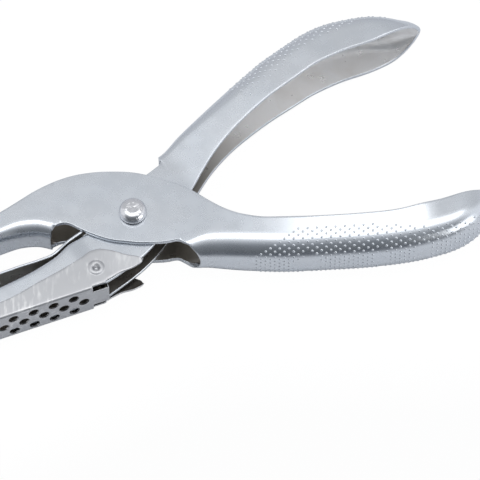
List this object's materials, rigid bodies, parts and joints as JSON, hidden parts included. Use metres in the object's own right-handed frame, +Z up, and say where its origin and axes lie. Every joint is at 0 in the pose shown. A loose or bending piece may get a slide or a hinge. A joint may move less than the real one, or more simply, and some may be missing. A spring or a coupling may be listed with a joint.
{
  "type": "single-hole plier punch",
  "caption": "Hand-squeezed plier punch of plated sheet steel with one round punch, a spring-open lower jaw, a stripper strip and a perforated chip tray.",
  "frame": {"origin": "on the pivot axis, at the plane that the tool rests on when it lies on its side; the rear rivet head's flat is there", "axes": "+X along the tool from the jaws to the handles, +Y the way the jaws open, +Z up through the tool's thickness, along the pivot axis"},
  "size_m": [0.1366, 0.0913, 0.016],
  "materials": {
    "lever_plate": "satin nickel-chrome plate over polished pressed steel, raised dots on the grips",
    "tray_plate": "satin nickel plate on thin sheet",
    "rivet_plate": "bright nickel plate",
    "tool_steel": "ground hardened steel",
    "spring_steel": "drawn spring wire"
  },
  "bodies": {
    "punch_body": {"punch_lever": "lever_plate", "pivot_rivet": "rivet_plate", "pivot_bushing": "tool_steel", "return_spring": "spring_steel", "punch_pin": "tool_steel"},
    "die_body": {"die_lever": "lever_plate", "stripper_plate": "tray_plate", "stripper_rivet_front": "rivet_plate", "stripper_rivet_rear": "rivet_plate"},
    "tray_body": {"chip_tray": "tray_plate"}
  },
  "joints": [
    {"name": "handle_squeeze", "type": "hinge", "parent": "punch_body", "child": "die_body", "pos_m": [0, 0, 0.008], "axis": [0, 0, -1], "range_deg": [0, 8], "stiffness_Nm_per_rad": 1.5, "springref_deg": -11.46, "deforming": ["return_spring"]},
    {"name": "tray_hinge", "type": "hinge", "parent": "die_body", "child": "tray_body", "pos_m": [-0.0089, -0.0159, 0.008], "axis": [0, 0, 1], "range_deg": [0, 30]}
  ]
}
